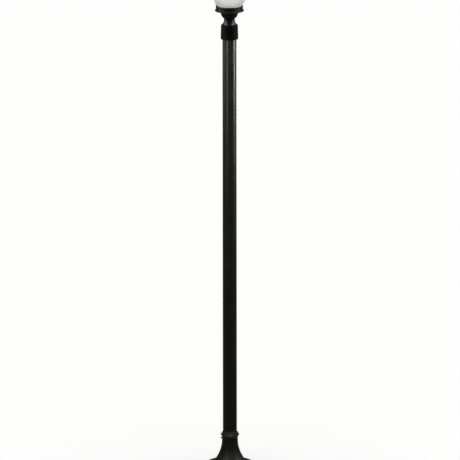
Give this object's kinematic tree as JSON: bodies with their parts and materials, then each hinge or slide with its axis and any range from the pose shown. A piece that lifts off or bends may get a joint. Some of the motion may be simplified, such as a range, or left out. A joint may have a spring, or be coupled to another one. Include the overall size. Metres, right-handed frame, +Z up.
{
  "type": "garden lamp post",
  "caption": "Tall round garden lamp post on a flared round base, with a collar, bell neck and cup that hold a white opal globe over a screw-in bulb.",
  "frame": {"origin": "on the ground at the centre of the base's underside", "axes": "+Z up along the post's axis, -Y towards the viewer, +X to the viewer's right"},
  "size_m": [0.25, 0.25, 2.7083],
  "materials": {
    "matt_black": "matte",
    "black_casting": "satin",
    "black_tube": "satin",
    "black_screw": "satin",
    "stainless_screw": "satin",
    "zinc_steel": "satin",
    "green_screw": "satin",
    "brass": "satin",
    "porcelain": "gloss",
    "bare_aluminium": "satin",
    "white_plastic": "matte",
    "black_plastic": "matte",
    "opal_plastic": "satin",
    "opal_glass": "gloss",
    "gasket_rubber": "matte",
    "insulation_black": "satin",
    "insulation_white": "satin",
    "insulation_green": "satin",
    "connector_plastic": "matte"
  },
  "bodies": {
    "post": {"base_casting": "black_casting", "base_ring": "black_casting", "base_set_screw_1": "black_screw", "base_set_screw_2": "black_screw", "base_set_screw_3": "black_screw", "post_tube": "black_tube"},
    "head": {"collar_set_screw_1": "stainless_screw", "collar_set_screw_2": "stainless_screw", "collar_set_screw_3": "stainless_screw", "earth_screw": "green_screw", "fitter_collar": "matt_black", "fitter_neck": "black_casting", "gallery_cup": "black_casting", "globe_gasket": "gasket_rubber", "lead_earth": "insulation_green", "lead_line": "insulation_black", "lead_neutral": "insulation_white", "nipple": "zinc_steel", "nipple_bushing": "black_plastic", "nipple_nut_lower": "zinc_steel", "nipple_nut_upper": "zinc_steel", "socket_body": "porcelain", "socket_bracket": "zinc_steel", "socket_contact": "brass", "socket_screw_left": "zinc_steel", "socket_screw_right": "zinc_steel", "socket_shell": "brass", "terminal_screw_line": "brass", "terminal_screw_neutral": "brass", "wire_connector_earth": "connector_plastic", "wire_connector_line": "connector_plastic", "wire_connector_neutral": "connector_plastic"},
    "globe": {"globe": "opal_glass"},
    "bulb": {"bulb_cap": "bare_aluminium", "bulb_contact": "brass", "bulb_dome": "opal_plastic", "bulb_housing": "white_plastic", "bulb_insulator": "black_plastic", "bulb_led_plate": "white_plastic"},
    "thumb_screw_1": {"thumb_screw_1": "black_screw"},
    "thumb_screw_2": {"thumb_screw_2": "black_screw"},
    "thumb_screw_3": {"thumb_screw_3": "black_screw"}
  },
  "joints": [
    {"name": "head_turn", "type": "hinge", "parent": "post", "child": "head", "pos_m": [0, 0, 2.4], "axis": [0, 0, 1], "range_deg": [-180, 180]},
    {"name": "globe_lift", "type": "slide", "parent": "head", "child": "globe", "axis": [0, 0, 1], "range_m": [0, 0.2]},
    {"name": "bulb_unscrew", "type": "slide", "parent": "head", "child": "bulb", "axis": [0, 0, 1], "range_m": [0, 0.012]},
    {"name": "thumb_screw_1_out", "type": "slide", "parent": "head", "child": "thumb_screw_1", "axis": [0, 1, 0], "range_m": [0, 0.006]},
    {"name": "thumb_screw_2_out", "type": "slide", "parent": "head", "child": "thumb_screw_2", "axis": [-0.866, -0.5, 0], "range_m": [0, 0.006]},
    {"name": "thumb_screw_3_out", "type": "slide", "parent": "head", "child": "thumb_screw_3", "axis": [0.866, -0.5, 0], "range_m": [0, 0.006]}
  ]
}
